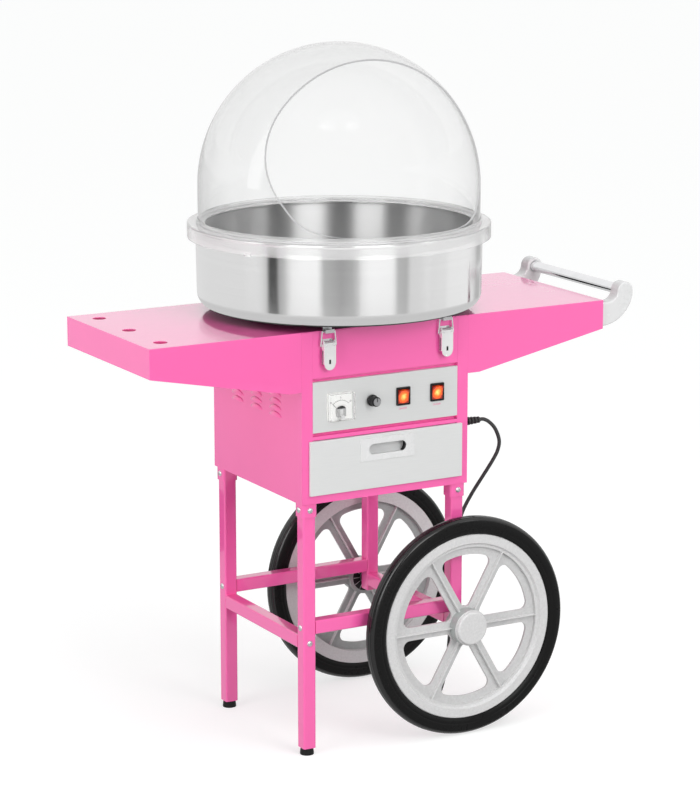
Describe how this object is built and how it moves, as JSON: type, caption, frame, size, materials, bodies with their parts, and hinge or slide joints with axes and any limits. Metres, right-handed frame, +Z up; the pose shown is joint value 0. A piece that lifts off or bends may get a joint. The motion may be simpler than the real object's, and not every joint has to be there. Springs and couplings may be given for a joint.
{
  "type": "cotton candy cart",
  "caption": "Cotton candy cart: sheet cabinet on legs and spoked wheels, steel bowl under a clear dome, spinner, drawer, meter, switches, side wings and a push handle.",
  "frame": {"origin": "floor level, under the middle of the cart's length and width", "axes": "+Z up, +X towards the push handle, -Y towards the control panel"},
  "size_m": [1.0046, 0.554, 1.2713],
  "materials": {
    "pink_paint": "gloss powder-coated sheet and tube",
    "grey_panel": "fine satin plate",
    "bowl_steel": "turned stainless steel",
    "zinc": "bright zinc plate",
    "chrome": "polished chrome",
    "wheel_grey": "moulded light grey",
    "bracket_white": "glossy light grey moulding",
    "tyre_rubber": "black tyre rubber",
    "black_rubber": "black rubber",
    "black_plastic": "black moulding",
    "clear_plastic": "clear moulded plastic",
    "frosted_plastic": "translucent plastic",
    "motor_paint": "dark stove enamel",
    "spinner_steel": "turned aluminium",
    "brass": "machined brass",
    "amber": "lit amber lens",
    "needle_black": "fine black pointer",
    "cord_rubber": "black cord jacket"
  },
  "bodies": {
    "cart": {"cabinet_shell": "pink_paint", "front_panel": "pink_paint", "top_deck": "pink_paint", "control_panel": "grey_panel", "left_wing": "pink_paint", "right_wing": "pink_paint", "leg_sockets": "pink_paint", "long_legs": "pink_paint", "short_legs": "pink_paint", "leg_rails": "pink_paint", "leg_feet": "black_rubber", "frame_bolts": "zinc", "wheel_axle": "zinc", "axle_spacers": "black_plastic", "handle_brackets": "bracket_white", "handle_bar": "chrome", "bowl_seat": "black_rubber", "bowl": "bowl_steel", "bowl_catches": "zinc", "motor_body": "motor_paint", "brush_holder": "brass", "meter_case": "black_plastic", "meter_cover": "clear_plastic", "pot_body": "black_plastic", "switch_housings": "black_plastic", "drawer_runners": "zinc", "latch_bases": "chrome", "cord_gland": "black_rubber", "cord_lead": "cord_rubber", "cord_coil": "cord_rubber", "cord_tie": "black_plastic", "cord_plug": "black_plastic"},
    "front_wheel": {"front_wheel": "wheel_grey", "front_tyre": "tyre_rubber", "front_hub_cap": "wheel_grey"},
    "rear_wheel": {"rear_wheel": "wheel_grey", "rear_tyre": "tyre_rubber", "rear_hub_cap": "wheel_grey"},
    "dome": {"dome": "clear_plastic", "dome_ring": "frosted_plastic"},
    "spinner": {"spinner_base": "spinner_steel", "spinner_cap": "spinner_steel", "spinner_band": "spinner_steel", "spinner_shaft": "brass"},
    "needle": {"meter_needle": "needle_black"},
    "knob": {"knob": "black_plastic", "knob_cap": "chrome"},
    "fan_rocker": {"fan_rocker": "amber"},
    "heat_rocker": {"heat_rocker": "amber"},
    "drawer": {"drawer_box": "grey_panel", "drawer_front": "grey_panel", "drawer_pull": "bracket_white"},
    "front_left_lever": {"front_left_lever": "chrome"},
    "front_left_bail": {"front_left_bail": "chrome"},
    "front_right_lever": {"front_right_lever": "chrome"},
    "front_right_bail": {"front_right_bail": "chrome"},
    "back_left_lever": {"back_left_lever": "chrome"},
    "back_left_bail": {"back_left_bail": "chrome"},
    "back_right_lever": {"back_right_lever": "chrome"},
    "back_right_bail": {"back_right_bail": "chrome"}
  },
  "joints": [
    {"name": "drawer_slide", "type": "slide", "parent": "cart", "child": "drawer", "axis": [0, -1, 0], "range_m": [0, 0.24]},
    {"name": "front_wheel_spin", "type": "hinge", "parent": "cart", "child": "front_wheel", "pos_m": [0.12275, -0.192, 0.207], "axis": [0, 1, 0], "continuous": true},
    {"name": "rear_wheel_spin", "type": "hinge", "parent": "cart", "child": "rear_wheel", "pos_m": [0.12275, 0.192, 0.207], "axis": [0, 1, 0], "continuous": true},
    {"name": "dome_lift", "type": "slide", "parent": "cart", "child": "dome", "axis": [0, 0, 1], "range_m": [0, 0.4]},
    {"name": "spinner_spin", "type": "hinge", "parent": "cart", "child": "spinner", "pos_m": [-0.03525, 0, 0.85], "axis": [0, 0, 1], "continuous": true},
    {"name": "knob_turn", "type": "hinge", "parent": "cart", "child": "knob", "pos_m": [-0.06525, -0.182, 0.649], "axis": [0, 1, 0], "range_deg": [-135, 135]},
    {"name": "fan_switch", "type": "hinge", "parent": "cart", "child": "fan_rocker", "pos_m": [-0.00025, -0.17, 0.6495], "axis": [1, 0, 0], "range_deg": [-20, 0]},
    {"name": "heat_switch", "type": "hinge", "parent": "cart", "child": "heat_rocker", "pos_m": [0.07075, -0.17, 0.6495], "axis": [1, 0, 0], "range_deg": [-20, 0]},
    {"name": "meter_sweep", "type": "hinge", "parent": "cart", "child": "needle", "pos_m": [-0.13125, -0.178, 0.6345], "axis": [0, 1, 0], "range_deg": [0, 90]},
    {"name": "front_left_lever_turn", "type": "hinge", "parent": "cart", "child": "front_left_lever", "pos_m": [-0.15625, -0.178, 0.764], "axis": [-1, 0, 0], "range_deg": [0, 110]},
    {"name": "front_left_bail_turn", "type": "hinge", "parent": "front_left_lever", "child": "front_left_bail", "pos_m": [-0.15625, -0.1775, 0.759], "axis": [-1, 0, 0], "range_deg": [-99, 0]},
    {"name": "front_right_lever_turn", "type": "hinge", "parent": "cart", "child": "front_right_lever", "pos_m": [0.08575, -0.178, 0.764], "axis": [-1, 0, 0], "range_deg": [0, 110]},
    {"name": "front_right_bail_turn", "type": "hinge", "parent": "front_right_lever", "child": "front_right_bail", "pos_m": [0.08575, -0.1775, 0.759], "axis": [-1, 0, 0], "range_deg": [-99, 0]},
    {"name": "back_left_lever_turn", "type": "hinge", "parent": "cart", "child": "back_left_lever", "pos_m": [-0.15625, 0.178, 0.764], "axis": [1, 0, 0], "range_deg": [0, 110]},
    {"name": "back_left_bail_turn", "type": "hinge", "parent": "back_left_lever", "child": "back_left_bail", "pos_m": [-0.15625, 0.1775, 0.759], "axis": [1, 0, 0], "range_deg": [-99, 0]},
    {"name": "back_right_lever_turn", "type": "hinge", "parent": "cart", "child": "back_right_lever", "pos_m": [0.08575, 0.178, 0.764], "axis": [1, 0, 0], "range_deg": [0, 110]},
    {"name": "back_right_bail_turn", "type": "hinge", "parent": "back_right_lever", "child": "back_right_bail", "pos_m": [0.08575, 0.1775, 0.759], "axis": [1, 0, 0], "range_deg": [-99, 0]}
  ],
  "couplings": [
    {"joint": "front_left_bail_turn", "follows": "front_left_lever_turn", "ratio": -0.9},
    {"joint": "front_right_bail_turn", "follows": "front_right_lever_turn", "ratio": -0.9},
    {"joint": "back_left_bail_turn", "follows": "back_left_lever_turn", "ratio": -0.9},
    {"joint": "back_right_bail_turn", "follows": "back_right_lever_turn", "ratio": -0.9}
  ]
}
